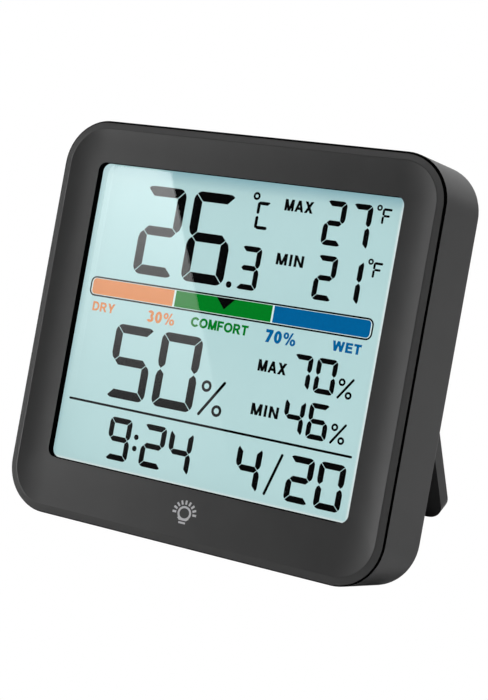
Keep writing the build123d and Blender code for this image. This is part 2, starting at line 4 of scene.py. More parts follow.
import bpy
import bmesh
from mathutils import Matrix, Vector
from mathutils.bvhtree import BVHTree


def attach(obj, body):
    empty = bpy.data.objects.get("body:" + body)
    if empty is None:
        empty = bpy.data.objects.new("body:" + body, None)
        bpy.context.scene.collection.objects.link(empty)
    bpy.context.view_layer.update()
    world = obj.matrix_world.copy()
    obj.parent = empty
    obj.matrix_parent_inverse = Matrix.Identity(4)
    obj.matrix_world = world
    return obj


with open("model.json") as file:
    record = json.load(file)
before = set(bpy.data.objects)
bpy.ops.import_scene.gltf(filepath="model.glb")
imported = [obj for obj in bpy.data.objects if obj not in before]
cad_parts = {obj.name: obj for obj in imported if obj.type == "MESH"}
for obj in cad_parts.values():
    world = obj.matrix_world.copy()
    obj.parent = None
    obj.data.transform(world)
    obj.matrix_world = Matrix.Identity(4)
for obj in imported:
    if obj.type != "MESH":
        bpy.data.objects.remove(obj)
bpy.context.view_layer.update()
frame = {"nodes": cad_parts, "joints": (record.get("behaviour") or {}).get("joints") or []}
MM = 0.001

# The monitor leans back. Places are written in millimetres in its upright frame: x to the right,
# y from the face towards the back, z up, zero in the middle of the front outline.
JOINTS = {joint["name"]: joint for joint in frame["joints"]}
DOWN = JOINTS["door_slide"]["axis"]
LEAN = math.atan2(-DOWN[1], -DOWN[2])
HINGE = Vector((0.0, 17.45, 31.3)) * MM
TURN = Matrix.Rotation(-LEAN, 4, "X")
BODY = Matrix.Translation(Vector(JOINTS["stand_hinge"]["pos_m"]) - TURN @ HINGE) @ TURN

# Camera, fitted to the outline, the side wall and the stand in the photograph
CAMERA_AT = Vector((224.90, -357.18, -1.886))
CAMERA_WAY = Vector((-0.51744, 0.85571, 0.00234))
CAMERA_RIGHT = Vector((0.84235, 0.50888, 0.17747))
SENSOR_HEIGHT, FOCAL_LENGTH = 36.0, 88.69
CLIP_START, CLIP_END = 0.02, 20.0

# Depths: the front of the lens, the display and the flat prints on it, and the print on the back
LENS_Y = 2.75
LCD_Y = 3.8
GROUND_Y, FIGURE_Y, OUTLINE_Y, MARKER_Y = LCD_Y - 0.006, LCD_Y - 0.01, LCD_Y - 0.012, LCD_Y - 0.016
BACK_PRINT_Y = 19.8 + 0.015
# Places on the display were read off the photograph at this depth, with this shift
READ_Y = 4.2
READ_X_SHIFT, READ_Z_SHIFT = 0.14, -0.12
# A print on the dish stands this far off it; the rays that look for the dish start in front of it
DISH_LIFT, RAY_Y = 0.02, -30.0

# Front frame: half sizes of its outline without the round corners, reach of the rim and of the
# seam beyond them (the seam widens a little between two heights), and the part of the window with painted
# shade
CORE_X, CORE_Z = 43.0, 39.2
RIM_REACH = 10.0
SEAM_HEIGHTS, SEAM_REACHES = (20.0, 45.0), (11.64, 11.42)
PAINTED_SHADE_DEPTHS = (0.62, 0.72)
PAINTED_SHADE_SIDE, PAINTED_SHADE_LOW, PAINTED_SHADE_HIGH = 44.6, -36.9, 40.8
SILL_SIDE, SILL_LOW, SILL_HIGH = 41.3, -36.75, -36.4
DISH_GREYS, DISH_GLOSS, RIM_GREY = (0.022, 0.027), (0.36, 0.44), 0.034
RIM_ROUGHER, PAINTED_SHADE_ROUGHER = 0.25, 0.5
# The front edge of the shell, in front of this depth, is painted matt black as the shade in the gap round the
# bezel
SHELL_PAINTED_SHADE_Y = 0.66

# Comfort bar: outline, line width, corner radius, and the height of the coloured fields
BAR = (-43.05, 40.1, 6.3, 11.45)
BAR_LINE, BAR_RADIUS = 0.42, 1.65
FIELD_LOW, FIELD_HIGH, FIELD_RADIUS = 6.86, 10.92, 0.95
MARKER = [(-4.3, FIELD_HIGH), (-1.6, 8.1), (1.3, FIELD_HIGH)]
# It sits a little lower than read, rises to the right and widens a little on the way
BAR_DROP, BAR_RISE, BAR_SPREAD = 0.06, 0.26, 0.2

# Touch key print: middle of the bulb and of its rays, number of rays, where they start and end
# to the side and upwards, and the width of the bulb's line, of its neck and of a ray
BULB_X, BULB_Z, RAYS_Z, RAYS = 0.15, -42.84, -42.86, 9
RAY_START, RAY_END = (2.4, 2.16), (3.48, 3.2)
BULB_LINE, NECK_LINE, RAY_LINE = 0.56, 0.48, 0.54

# Battery cells: height between the two, start of the bright band and the ends of the sleeve
CELLS_PART_Z, BAND_START = -27.26, 9.0
SLEEVE_START, SLEEVE_END = -19.5, 23.6

# Materials: where most of a noise lies, the black of painted shade in gaps and recesses, shares and depths of
# relief
NOISE_SPAN = (0.3, 0.7)
PAINTED_SHADE_BLACK = 0.001
GLOSS_SPREAD, METAL_SPREAD, LENS_SPREAD = 0.06, 0.08, 0.004
DEEP_RELIEF, FINE_RELIEF = 0.00002, 0.00001
# A lit surface also reflects this share of its own colour
LIT_SHARE = 0.2
LCD_GLOW, FIELD_GLOW, PALE_GLOW = 0.88, 0.78, 0.88
# Share of light that glass mirrors head on
GLASS_MIRROR = 0.04

# World: strength in front of and behind the monitor, and the directions between which it changes
FRONT_LIGHT, BACK_LIGHT = 0.02, 0.9
FRONT_WAY, BACK_WAY = -0.25, 0.45
FLOOR_HALF, FLOOR_DROP = 4.0, -0.00002

# Soft box to the left of the monitor. Its slanting edge shows in the lens as the glare.
BOX_TURN = math.radians(62.0)
BOX_FAR, BOX_REACH = 600.0, 520.0
BOX_WAY = Vector((math.sin(BOX_TURN), math.cos(BOX_TURN), 0.0))
BOX_LOW, BOX_HIGH = -200.0, 460.0
GLARE_EDGE = ((-24.7, 40.3), (-1.8, -8.0))
# The near part brightens upwards; the far part is bright at its top and bottom only
GLARE_HEIGHTS, GLARE_POWER, GLARE_LEVEL = (-100.0, 98.0), 1.7, 3.0
FAR_LOW, FAR_LOW_LEVEL = (-30.0, -100.0), 8.0
FAR_HIGH, FAR_HIGH_LEVEL = (30.0, 98.0), 6.0
NEAR_TO_FAR, FAR_END, BOX_FADE = (-425.0, -455.0), (-590.0, -620.0), (98.0, 220.0)


def at(x, y, z):
    """A place in the upright frame as a point of the row frame, in metres."""
    return BODY @ (Vector((x, y, z)) * MM)


# Node trees

def feed(tree, node, inputs):
    """Sets a node's inputs by name or number; one that is given a socket is linked to it."""
    for key, value in inputs.items():
        if isinstance(value, bpy.types.NodeSocket):
            tree.links.new(value, node.inputs[key])
        else:
            node.inputs[key].default_value = value


def add(tree, kind, inputs=None, **settings):
    """A new node with its settings and inputs."""
    node = tree.nodes.new(kind)
    for key, value in settings.items():
        setattr(node, key, value)
    feed(tree, node, inputs or {})
    return node


def coords(tree):
    """Object coordinates in the upright frame, in millimetres."""
    back = BODY.inverted()
    source = add(tree, "ShaderNodeTexCoord").outputs["Object"]
    turn = add(tree, "ShaderNodeMapping", {
        "Vector": source, "Location": back.to_translation() / MM, "Rotation": back.to_euler(),
        "Scale": (1.0 / MM,) * 3}, vector_type="POINT")
    return turn.outputs["Vector"]


def axes(tree, vector):
    """The x, y and z of a vector."""
    outputs = add(tree, "ShaderNodeSeparateXYZ", {"Vector": vector}).outputs
    return outputs["X"], outputs["Y"], outputs["Z"]


def noise(tree, vector, scale, detail=3.0, rough=0.55):
    return add(tree, "ShaderNodeTexNoise", {
        "Vector": vector, "Scale": scale, "Detail": detail, "Roughness": rough}).outputs["Fac"]


def ramp(tree, value, low, high, start_at=0.0, end_at=1.0):
    """Maps a value from one range to another, held at the ends."""
    return add(tree, "ShaderNodeMapRange", {
        "Value": value, "From Min": low, "From Max": high,
        "To Min": start_at, "To Max": end_at}).outputs["Result"]


def math_node(tree, operation, a, b=0.0, c=0.0, clamp=False):
    return add(tree, "ShaderNodeMath", {0: a, 1: b, 2: c}, operation=operation,
               use_clamp=clamp).outputs[0]


def above(tree, value, limit):
    return math_node(tree, "GREATER_THAN", value, limit)


def below(tree, value, limit):
    return math_node(tree, "LESS_THAN", value, limit)


def most(tree, a, b):
    return math_node(tree, "MAXIMUM", a, b)


def times(tree, product, *factors):
    for factor in factors:
        product = math_node(tree, "MULTIPLY", product, factor)
    return product


def mix(tree, share, a, b, blend="MIX"):
    return add(tree, "ShaderNodeMix", {0: share, 6: a, 7: b}, data_type="RGBA",
               blend_type=blend).outputs[2]


def bump(tree, shader, height, strength, distance):
    relief = add(tree, "ShaderNodeBump", {"Height": height, "Strength": strength,
                                          "Distance": distance})
    feed(tree, shader, {"Normal": relief.outputs["Normal"]})


def grey(value):
    return (value, value, value, 1.0)


def shade(color, factor):
    """A colour made darker or paler."""
    return [min(1, part * factor) for part in color] + [1]


def new_material(name):
    """A new material, its tree and its main shader."""
    made = bpy.data.materials.new(name)
    made.use_nodes = True
    return made, made.node_tree, made.node_tree.nodes["Principled BSDF"]


def show(tree, surface):
    """Makes a shader the surface of its material."""
    feed(tree, tree.nodes["Material Output"], {"Surface": surface.outputs[0]})


def looked_at(tree, path):
    """One where the camera looks, also through glass."""
    return most(tree, path.outputs["Is Camera Ray"], path.outputs["Is Transmission Ray"])


# Materials

def plastic(name, color, rough, grain=7.0, relief=0.15, level=0.5, painted_shade_depth=None):
    """Moulded plastic: a fine grain, slow changes of tone and a little change of gloss.

    With a seam depth, all that lies in front of that depth is painted matt black, painted shade of the gap
    round the bezel."""
    made, tree, shader = new_material(name)
    place = coords(tree)
    fine = noise(tree, place, grain, 4.0, 0.6)
    slow = noise(tree, place, 0.09, 2.0)
    tone = mix(tree, ramp(tree, slow, *NOISE_SPAN), shade(color, 0.9), shade(color, 1.1))
    tone = mix(tree, ramp(tree, fine, 0.35, 0.65, 0.0, 0.35), tone, shade(color, 0.8))
    feed(tree, shader, {"Specular IOR Level": level})
    if painted_shade_depth is not None:
        # Painted shade: in front of the depth the shell is matt black, standing in for the shade of the gap
        plain = above(tree, axes(tree, place)[1], painted_shade_depth)
        tone = mix(tree, plain, grey(PAINTED_SHADE_BLACK), tone)
        feed(tree, shader, {"Specular IOR Level": times(tree, plain, level)})
    gloss = ramp(tree, fine, *NOISE_SPAN, rough - GLOSS_SPREAD, rough + GLOSS_SPREAD)
    feed(tree, shader, {"Base Color": tone, "Roughness": gloss})
    bump(tree, shader, fine, relief, DEEP_RELIEF)
    return made


def bezel_plastic():
    """Satin black frame with a paler rim. The window's wall and sill and the seam are painted matt black as
    shade.
    """
    made, tree, shader = new_material("bezel_satin_black")
    place = coords(tree)
    x, y, z = axes(tree, place)
    x_size, z_size = math_node(tree, "ABSOLUTE", x), math_node(tree, "ABSOLUTE", z)
    fine = noise(tree, place, 9.0, 4.0, 0.6)
    slow = noise(tree, place, 0.07, 2.0)
    tone = mix(tree, ramp(tree, slow, *NOISE_SPAN), *(grey(value) for value in DISH_GREYS))

    # Painted shade: the window's wall and sill are made matt black in place of their shade
    wall = ramp(tree, y, *PAINTED_SHADE_DEPTHS)
    sill = times(tree, below(tree, z, SILL_HIGH), above(tree, z, SILL_LOW), below(tree, x_size, SILL_SIDE))
    painted_shade = times(tree, most(tree, wall, sill), below(tree, x_size, PAINTED_SHADE_SIDE),
                  times(tree, above(tree, z, PAINTED_SHADE_LOW), below(tree, z, PAINTED_SHADE_HIGH)))
    across = most(tree, math_node(tree, "SUBTRACT", x_size, CORE_X), 0.0)
    rise = most(tree, math_node(tree, "SUBTRACT", z_size, CORE_Z), 0.0)
    reach = math_node(tree, "SQRT", math_node(tree, "MULTIPLY_ADD", across, across, times(tree, rise, rise)))
    # Painted shade: the outermost ring of the rim, along the seam, is matt black too
    painted_shade = most(tree, painted_shade, above(tree, reach, ramp(tree, z, *SEAM_HEIGHTS, *SEAM_REACHES)))
    rim = above(tree, reach, RIM_REACH)

    tone = mix(tree, rim, tone, grey(RIM_GREY))
    gloss = math_node(tree, "MULTIPLY_ADD", rim, RIM_ROUGHER, ramp(tree, fine, *NOISE_SPAN, *DISH_GLOSS))
    feed(tree, shader, {
        "Base Color": mix(tree, painted_shade, tone, grey(PAINTED_SHADE_BLACK)),
        "Specular IOR Level": ramp(tree, painted_shade, 0.0, 1.0, 0.5, 0.0),
        "Roughness": math_node(tree, "MULTIPLY_ADD", painted_shade, PAINTED_SHADE_ROUGHER, gloss, clamp=True)})
    bump(tree, shader, fine, 0.08, FINE_RELIEF)
    return made


def brushed(name, color, rough):
    """Plated or drawn metal with fine streaks."""
    made, tree, shader = new_material(name)
    place = coords(tree)
    stretched = add(tree, "ShaderNodeVectorMath", {0: place, 1: (0.4, 6.0, 6.0)}, operation="MULTIPLY")
    streak = noise(tree, stretched.outputs[0], 3.0, 5.0)
    stain = noise(tree, place, 0.8, 3.0)
    tone = mix(tree, ramp(tree, streak, *NOISE_SPAN), shade(color, 0.8), shade(color, 1.0))
    tone = mix(tree, ramp(tree, stain, 0.55, 0.8, 0.0, 0.4), tone, shade(color, 0.6))
    gloss = ramp(tree, streak, *NOISE_SPAN, rough - METAL_SPREAD, rough + METAL_SPREAD)
    feed(tree, shader, {"Base Color": tone, "Roughness": gloss, "Metallic": 1.0})
    bump(tree, shader, streak, 0.1, FINE_RELIEF)
    return made


def clear(name, tint, rough):
    """Clear cover that lets the picture through and mirrors what is bright."""
    made, tree, shader = new_material(name)
    tree.nodes.remove(shader)
    smear = noise(tree, coords(tree), 0.25, 4.0)
    through = add(tree, "ShaderNodeBsdfTransparent", {"Color": tint})
    mirror = add(tree, "ShaderNodeBsdfGlossy", {
        "Color": grey(1.0), "Roughness": ramp(tree, smear, 0.35, 0.7, rough, rough + LENS_SPREAD)})
    # Schlick's rule on both faces: a Fresnel node would turn the far face into a full mirror at a slant
    facing = add(tree, "ShaderNodeLayerWeight", {"Blend": 0.5}).outputs["Facing"]
    edge = math_node(tree, "MULTIPLY_ADD", math_node(tree, "POWER", facing, 5.0),
                     1.0 - GLASS_MIRROR, GLASS_MIRROR)
    show(tree, add(tree, "ShaderNodeMixShader", {0: edge, 1: through.outputs[0], 2: mirror.outputs[0]}))
    return made


def light_up(tree, shader, tone, glow):
    """Makes a matt surface shine in its own colour."""
    dim = mix(tree, 1.0, tone, grey(LIT_SHARE), "MULTIPLY")
    feed(tree, shader, {"Base Color": dim, "Emission Color": tone, "Emission Strength": glow})


def lcd_material():
    """Pale blue-green display, lit from behind, with painted shadow along its top and far left, a painted
    highlight along its right edge, a paler bottom edge and a painted glare strip at the left.
    """
    made, tree, shader = new_material("lcd_blue_green")
    place = coords(tree)
    x, _, z = axes(tree, place)
    cloud = noise(tree, place, 0.03, 2.0)
    cell = noise(tree, place, 3.0, 2.0)
    tone = mix(tree, ramp(tree, cloud, *NOISE_SPAN), (0.483, 0.696, 0.704, 1), (0.515, 0.72, 0.728, 1))
    tone = mix(tree, ramp(tree, cell, *NOISE_SPAN, 0.0, 0.06), tone, (0.46, 0.67, 0.68, 1))
    # Paler along the right edge, a painted highlight on the lens edge, and paler along the bottom edge
    right = ramp(tree, x, 41.9, 42.5, 0.0, 0.75)
    bottom = ramp(tree, z, -36.0, -36.6, 0.0, 0.75)
    tone = mix(tree, most(tree, right, bottom), tone, (0.8, 0.86, 0.85, 1))
    # Painted shadow of the window's wall along the top and at the far left
    top = times(tree, ramp(tree, z, 37.2, 41.0, 0.0, 0.75), ramp(tree, x, -29.0, -22.0, 0.3, 1.0))
    left = ramp(tree, x, -43.8, -45.4, 0.0, 0.3)
    tone = mix(tree, most(tree, top, left), tone, (0.16, 0.36, 0.44, 1))
    # Painted glare: a brighter strip near the left edge, rising towards the top, in place of the glare in the
    # lens there
    painted_glare = times(tree, ramp(tree, x, -41.6, -42.1), ramp(tree, z, -30.0, 36.0, 0.0, 0.13))
    tone = mix(tree, painted_glare, tone, grey(1.0), "ADD")
    light_up(tree, shader, tone, LCD_GLOW)
    feed(tree, shader, {"Roughness": 0.6, "Specular IOR Level": 0.0})
    return made


def ink(name, color, glow=0.0):
    """Display segment or print: flat colour with a slight unevenness."""
    made, tree, shader = new_material(name)
    cell = noise(tree, coords(tree), 2.0, 3.0)
    tone = mix(tree, ramp(tree, cell, *NOISE_SPAN), shade(color, 0.94), shade(color, 1.05))
    if glow:
        light_up(tree, shader, tone, glow)
    else:
        feed(tree, shader, {"Base Color": tone})
    feed(tree, shader, {"Roughness": 0.7, "Specular IOR Level": 0.0})
    return made


def board_material():
    """Green solder mask over copper tracks, with pale print."""
    made, tree, shader = new_material("solder_mask_green")
    place = coords(tree)
    bricks = add(tree, "ShaderNodeTexBrick", {
        "Vector": place, "Scale": 0.35, "Mortar Size": 0.05,
        "Color1": grey(0.0), "Color2": grey(0.15), "Mortar": grey(1.0)})
    flattened = add(tree, "ShaderNodeVectorMath", {0: place, 1: (1.0, 0.0, 1.0)}, operation="MULTIPLY")
    track = noise(tree, flattened.outputs[0], 0.5, 0.0)
    copper = ramp(tree, math_node(tree, "SINE", times(tree, track, 60.0)), 0.55, 0.7, 0.0, 0.8)
    tone = mix(tree, copper, (0.012, 0.10, 0.035, 1), (0.03, 0.19, 0.07, 1))
    tone = mix(tree, ramp(tree, bricks.outputs["Color"], 0.9, 1.0, 0.0, 0.25), tone, (0.04, 0.25, 0.1, 1))
    feed(tree, shader, {"Base Color": tone, "Roughness": 0.32})
    bump(tree, shader, copper, 0.2, DEEP_RELIEF)
    return made


def cell_material():
    """Dark printed sleeve with a bright band at one end and bare metal caps."""
    made, tree, shader = new_material("cell_sleeve")
    place = coords(tree)
    x, _, z = axes(tree, place)
    wear = noise(tree, place, 0.7, 4.0)
    # The two cells lie head to tail, one above the other
    upper = above(tree, z, CELLS_PART_Z)
    along = times(tree, x, math_node(tree, "MULTIPLY_ADD", upper, 2.0, -1.0))
    band = above(tree, along, BAND_START)
    cap = most(tree, above(tree, along, SLEEVE_END), below(tree, along, SLEEVE_START))
    tone = mix(tree, band, (0.018, 0.05, 0.10, 1), (0.62, 0.42, 0.12, 1))
    tone = mix(tree, cap, tone, (0.6, 0.6, 0.6, 1))
    tone = mix(tree, ramp(tree, wear, 0.6, 0.8, 0.0, 0.3), tone, grey(0.25))
    feed(tree, shader, {"Base Color": tone, "Metallic": most(tree, cap, 0.55),
                        "Roughness": ramp(tree, wear, *NOISE_SPAN, 0.25, 0.36)})
    bump(tree, shader, wear, 0.05, DEEP_RELIEF)
    return made


# Pieces

def finish_mesh(name, mesh, material, body):
    """Moves a mesh from the upright frame into place and makes it a piece of the model."""
    made = bmesh.new()
    made.from_mesh(mesh)
    bmesh.ops.triangulate(made, faces=[f for f in made.faces if len(f.verts) > 4])
    made.to_mesh(mesh)
    made.free()
    mesh.transform(BODY)
    mesh.materials.clear()
    mesh.materials.append(material)
    piece = bpy.data.objects.new(name, mesh)
    bpy.context.scene.collection.objects.link(piece)
    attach(piece, body)
    return piece


def flat_piece(name, shapes, depth, material, body="housing"):
    """Flat printed shapes. The depth is one number, or a function that gives it for x and z."""
    depth_at = depth if callable(depth) else lambda x, z: depth
    mesh = bpy.data.meshes.new(name)
    points, faces = [], []
    for shape in shapes:
        first = len(points)
        points.extend(Vector((x, depth_at(x, z), z)) * MM for x, z in shape)
        faces.append(list(range(first, first + len(shape))))
    mesh.from_pydata(points, [], faces)
    mesh.update()
    return finish_mesh(name, mesh, material, body)


def back_word(name, text, cx, cz, wide, tall, material, body):
    """A generic word in the built-in font that fills a box on the back, to be read from behind."""
    curve = bpy.data.curves.new(text, "FONT")
    curve.body = text
    curve.size = 1.0
    curve.offset = 0.01
    curve.resolution_u = 4
    holder = bpy.data.objects.new(text, curve)
    bpy.context.scene.collection.objects.link(holder)
    bpy.context.view_layer.update()
    mesh = bpy.data.meshes.new_from_object(holder.evaluated_get(bpy.context.evaluated_depsgraph_get()))
    bpy.data.objects.remove(holder)
    low = [min(v.co[i] for v in mesh.vertices) for i in (0, 1)]
    high = [max(v.co[i] for v in mesh.vertices) for i in (0, 1)]
    for v in mesh.vertices:
        x = cx + wide / 2 - (v.co[0] - low[0]) / (high[0] - low[0]) * wide
        z = cz - tall / 2 + (v.co[1] - low[1]) / (high[1] - low[1]) * tall
        v.co = Vector((x, BACK_PRINT_Y, z)) * MM
    mesh.flip_normals()
    return finish_mesh(name, mesh, material, body)


def seen(x, z, y=FIGURE_Y):
    """Moves a place read off the photograph at READ_Y along its line of sight to depth y."""
    share = (y - CAMERA_AT.y) / (READ_Y - CAMERA_AT.y)
    return (CAMERA_AT.x + (x + READ_X_SHIFT - CAMERA_AT.x) * share,
            CAMERA_AT.z + (z + READ_Z_SHIFT - CAMERA_AT.z) * share)


def moved(shapes):
    """Shapes read off the photograph, moved to the depth of the figures."""
    return [[seen(x, z) for x, z in shape] for shape in shapes]


# Flat shapes: each function but arc and rounded gives a list of outlines

def arc(cx, cz, radius, first, last, steps):
    """Points along an arc, with its angles in degrees."""
    angles = [math.radians(first + (last - first) * i / steps) for i in range(steps + 1)]
    return [(cx + radius * math.cos(angle), cz + radius * math.sin(angle)) for angle in angles]


def rounded(x0, x1, z0, z1, left, right):
    """A box with rounded ends; a radius of zero leaves a corner sharp."""
    low = arc(x0 + left, z0 + left, left, 180, 270, 6) + arc(x1 - right, z0 + right, right, 270, 360, 6)
    high = arc(x1 - right, z1 - right, right, 0, 90, 6) + arc(x0 + left, z1 - left, left, 90, 180, 6)
    return low + high


def disc(cx, cz, radius):
    return [arc(cx, cz, radius, 0, 345, 23)]


def ring(cx, cz, outer, width, steps=28):
    """A ring as a chain of small quads."""
    shapes = []
    for i in range(steps):
        a, b = 360 * i / steps, 360 * (i + 1) / steps
        shapes.append(arc(cx, cz, outer, a, b, 1) + arc(cx, cz, outer - width, b, a, 1))
    return shapes


def bow(cx, cz, rx, rz, first, last, width, steps=16):
    """A stretch of an oval stroke, as a chain of quads, a little thinner at its top and bottom."""
    shapes = []
    for i in range(steps):
        angles = [math.radians(first + (last - first) * k / steps) for k in (i, i + 1)]
        outer = [(cx + rx * math.cos(a), cz + rz * math.sin(a)) for a in angles]
        inner = [(cx + (rx - width) * math.cos(a), cz + (rz - width * 0.9) * math.sin(a)) for a in angles]
        shapes.append([outer[0], outer[1], inner[1], inner[0]])
    return shapes


def stroke(x0, z0, x1, z1, width, round_ends=True):
    """A straight stroke with half-round or square ends."""
    half, way = width / 2, math.degrees(math.atan2(z1 - z0, x1 - x0))
    if round_ends:
        return [arc(x1, z1, half, way - 90, way + 90, 6) + arc(x0, z0, half, way + 90, way + 270, 6)]
    dx, dz = -math.sin(math.radians(way)) * half, math.cos(math.radians(way)) * half
    return [[(x0 + dx, z0 + dz), (x0 - dx, z0 - dz), (x1 - dx, z1 - dz), (x1 + dx, z1 + dz)]]


def leg(x0, z0, x1, z1, width):
    """A stem or diagonal with level ends."""
    half = width / 2
    return [[(x0 - half, z0), (x0 + half, z0), (x1 + half, z1), (x1 - half, z1)]]


def bar(x0, x1, z, height):
    """A level bar round the height z."""
    half = height / 2
    return [[(x0, z - half), (x1, z - half), (x1, z + half), (x0, z + half)]]


def ribbon(points, width):
    """A ribbon along a polyline, as small quads."""
    normals = []
    for before, after in zip(points[:1] + points[:-1], points[1:] + points[-1:]):
        dx, dz = after[0] - before[0], after[1] - before[1]
        size = math.hypot(dx, dz)
        normals.append((-dz / size * width / 2, dx / size * width / 2))
    shapes = []
    for i in range(len(points) - 1):
        (x0, z0), (x1, z1) = points[i], points[i + 1]
        (a0, b0), (a1, b1) = normals[i], normals[i + 1]
        shapes.append([(x0 + a0, z0 + b0), (x0 - a0, z0 - b0), (x1 - a1, z1 - b1), (x1 + a1, z1 + b1)])
    return shapes


SEGMENTS = {"0": "abcdef", "1": "bc", "2": "abged", "3": "abgcd", "4": "fgbc", "5": "afgcd",
            "6": "afgedc", "7": "abc", "9": "abcdfg"}


def digit(text, x0, x1, z0, z1, thick, middle=None):
    """The lit segments of a figure, with mitred ends and rounded outer corners.

    The figure is built from zero, in proportion to its thickness, and then moved to its box."""
    wide, tall = x1 - x0, z1 - z0
    waist = ((z0 + z1) / 2 if middle is None else middle) - z0
    gap = 0.05 * thick + 0.04
    # The gap between two segments, measured along a mitre of 45 degrees
    mitre = gap * 1.414
    radius = shoulder = 0.85 * thick
    half_bar, tip = 0.46 * thick, 0.5 * thick

    corner = [(x + mitre / 2 + gap * 0.2, z) for x, z in arc(radius, radius, radius, 225, 270, 3)]
    bottom = corner + [(wide - x, z) for x, z in reversed(corner)]
    bottom += [(wide - thick - mitre / 2, thick - gap * 0.3), (thick + mitre / 2, thick - gap * 0.3)]

    def side(height):
        """The left segment, from the bottom corner to its point beside the crossbar."""
        shape = [(z, x) for x, z in corner]
        shape += [(0.0, height - shoulder), (tip * 0.32, height - shoulder * 0.42), (tip, height - gap)]
        return shape + [(thick, height - half_bar - gap), (thick, thick + mitre / 2)]

    lower, upper = side(waist), side(tall - waist)
    end, notch = tip + mitre * 0.6, thick + gap * 0.6
    crossbar = [(end, waist), (notch, waist - half_bar), (wide - notch, waist - half_bar),
                (wide - end, waist), (wide - notch, waist + half_bar), (notch, waist + half_bar)]
    parts = {
        "a": [(x, tall - z) for x, z in bottom],
        "b": [(wide - x, tall - z) for x, z in upper],
        "c": [(wide - x, z) for x, z in lower],
        "d": bottom,
        "e": lower,
        "f": [(x, tall - z) for x, z in upper],
        "g": crossbar,
    }
    return [[(x0 + x, z0 + z) for x, z in parts[name]] for name in SEGMENTS[text]]


def glyph(letter, s):
    """Width and strokes of a capital, figure or sign one cap height tall, with stems s wide."""
    h, flat, wide = s / 2, 0.86 * s, 1.16 * s
    top, foot = 1 - flat / 2, flat / 2
    stem = leg(h, 0, h, 1, s)
    return {
        "A": lambda: (0.96, leg(h, 0, 0.48, 1, s) + leg(0.96 - h, 0, 0.48, 1, s)
                      + bar(0.25, 0.71, 0.3, flat)),
        "C": lambda: (0.95, bow(0.53, 0.5, 0.53, 0.5, 38, 322, s)),
        "D": lambda: (0.86, stem + bar(h, 0.4, top, flat) + bar(h, 0.4, foot, flat)
                      + bow(0.38, 0.5, 0.48, 0.5, -90, 90, s)),
        "E": lambda: (0.76, stem + bar(h, 0.74, top, flat) + bar(h, 0.7, 0.52, flat)
                      + bar(h, 0.76, foot, flat)),
        "F": lambda: (0.72, stem + bar(h, 0.72, top, flat) + bar(h, 0.65, 0.5, flat)),
        "I": lambda: (s, stem),
        "M": lambda: (1.0, stem + leg(1 - h, 0, 1 - h, 1, s) + leg(0.5, 0, h * 1.2, 1, s)
                      + leg(0.5, 0, 1 - h * 1.2, 1, s)),
        "N": lambda: (0.86, stem + leg(0.86 - h, 0, 0.86 - h, 1, s) + leg(0.84 - h, 0, h, 1, s)),
        "O": lambda: (1.02, bow(0.51, 0.5, 0.51, 0.5, 0, 360, s, 24)),
        "R": lambda: (0.88, stem + bar(h, 0.5, top, flat) + bar(h, 0.5, 0.46, flat)
                      + bow(0.49, 0.69, 0.32, 0.31, -90, 90, s) + leg(0.76, 0, 0.46, 0.45, wide)),
        "T": lambda: (0.8, bar(0, 0.8, top, flat) + leg(0.4, 0, 0.4, 1, s)),
        "W": lambda: (1.3, leg(0.34, 0, h, 1, s) + leg(0.34, 0, 0.65, 1, s) + leg(0.96, 0, 0.65, 1, s)
                      + leg(0.96, 0, 1.3 - h, 1, s)),
        "X": lambda: (0.9, leg(h, 0, 0.9 - h, 1, wide) + leg(0.9 - h, 0, h, 1, wide)),
        "Y": lambda: (0.88, leg(0.44, 0, 0.44, 0.45, s) + leg(0.44, 0.36, h, 1, wide)
                      + leg(0.44, 0.36, 0.88 - h, 1, wide)),
        "0": lambda: (0.66, bow(0.33, 0.5, 0.33, 0.5, 0, 360, 0.92 * s, 20)),
        "3": lambda: (0.63, bow(0.29, 0.73, 0.3, 0.27, -90, 155, 0.9 * s)
                      + bow(0.3, 0.29, 0.33, 0.29, -155, 90, 0.9 * s)),
        "7": lambda: (0.62, bar(0, 0.62, top, flat) + leg(0.2, 0, 0.5, 0.86, s)),
        "%": lambda: (1.08, bow(0.24, 0.73, 0.24, 0.27, 0, 360, 0.62 * s)
                      + bow(0.84, 0.27, 0.24, 0.27, 0, 360, 0.62 * s) + leg(0.33, 0, 0.75, 1, 0.58 * s)),
    }[letter]()


def word_shapes(text, x0, x1, z0, z1, stem, gap):
    """A word in capitals that fills a box read off the photograph."""
    glyphs = [glyph(letter, stem) for letter in text]
    total = sum(width for width, _ in glyphs) + gap * (len(text) - 1)
    across, shapes = 0.0, []
    for width, strokes in glyphs:
        for shape in strokes:
            shapes.append([(x0 + (across + x) / total * (x1 - x0), z0 + z * (z1 - z0)) for x, z in shape])
        across += width + gap
    return shapes


# Camera

def make_camera():
    data = bpy.data.cameras.new("camera")
    data.sensor_fit = "VERTICAL"
    data.sensor_height = SENSOR_HEIGHT
    data.lens = FOCAL_LENGTH
    data.clip_start = CLIP_START
    data.clip_end = CLIP_END
    forward = CAMERA_WAY.normalized()
    down = forward.cross(CAMERA_RIGHT.normalized()).normalized()
    right = down.cross(forward).normalized()
    turn = Matrix((right, -down, -forward)).transposed().to_4x4()
    eye = bpy.data.objects.new("camera", data)
    eye.matrix_world = BODY @ Matrix.Translation(CAMERA_AT * MM) @ turn
    bpy.context.scene.collection.objects.link(eye)
    bpy.context.scene.camera = eye


make_camera()

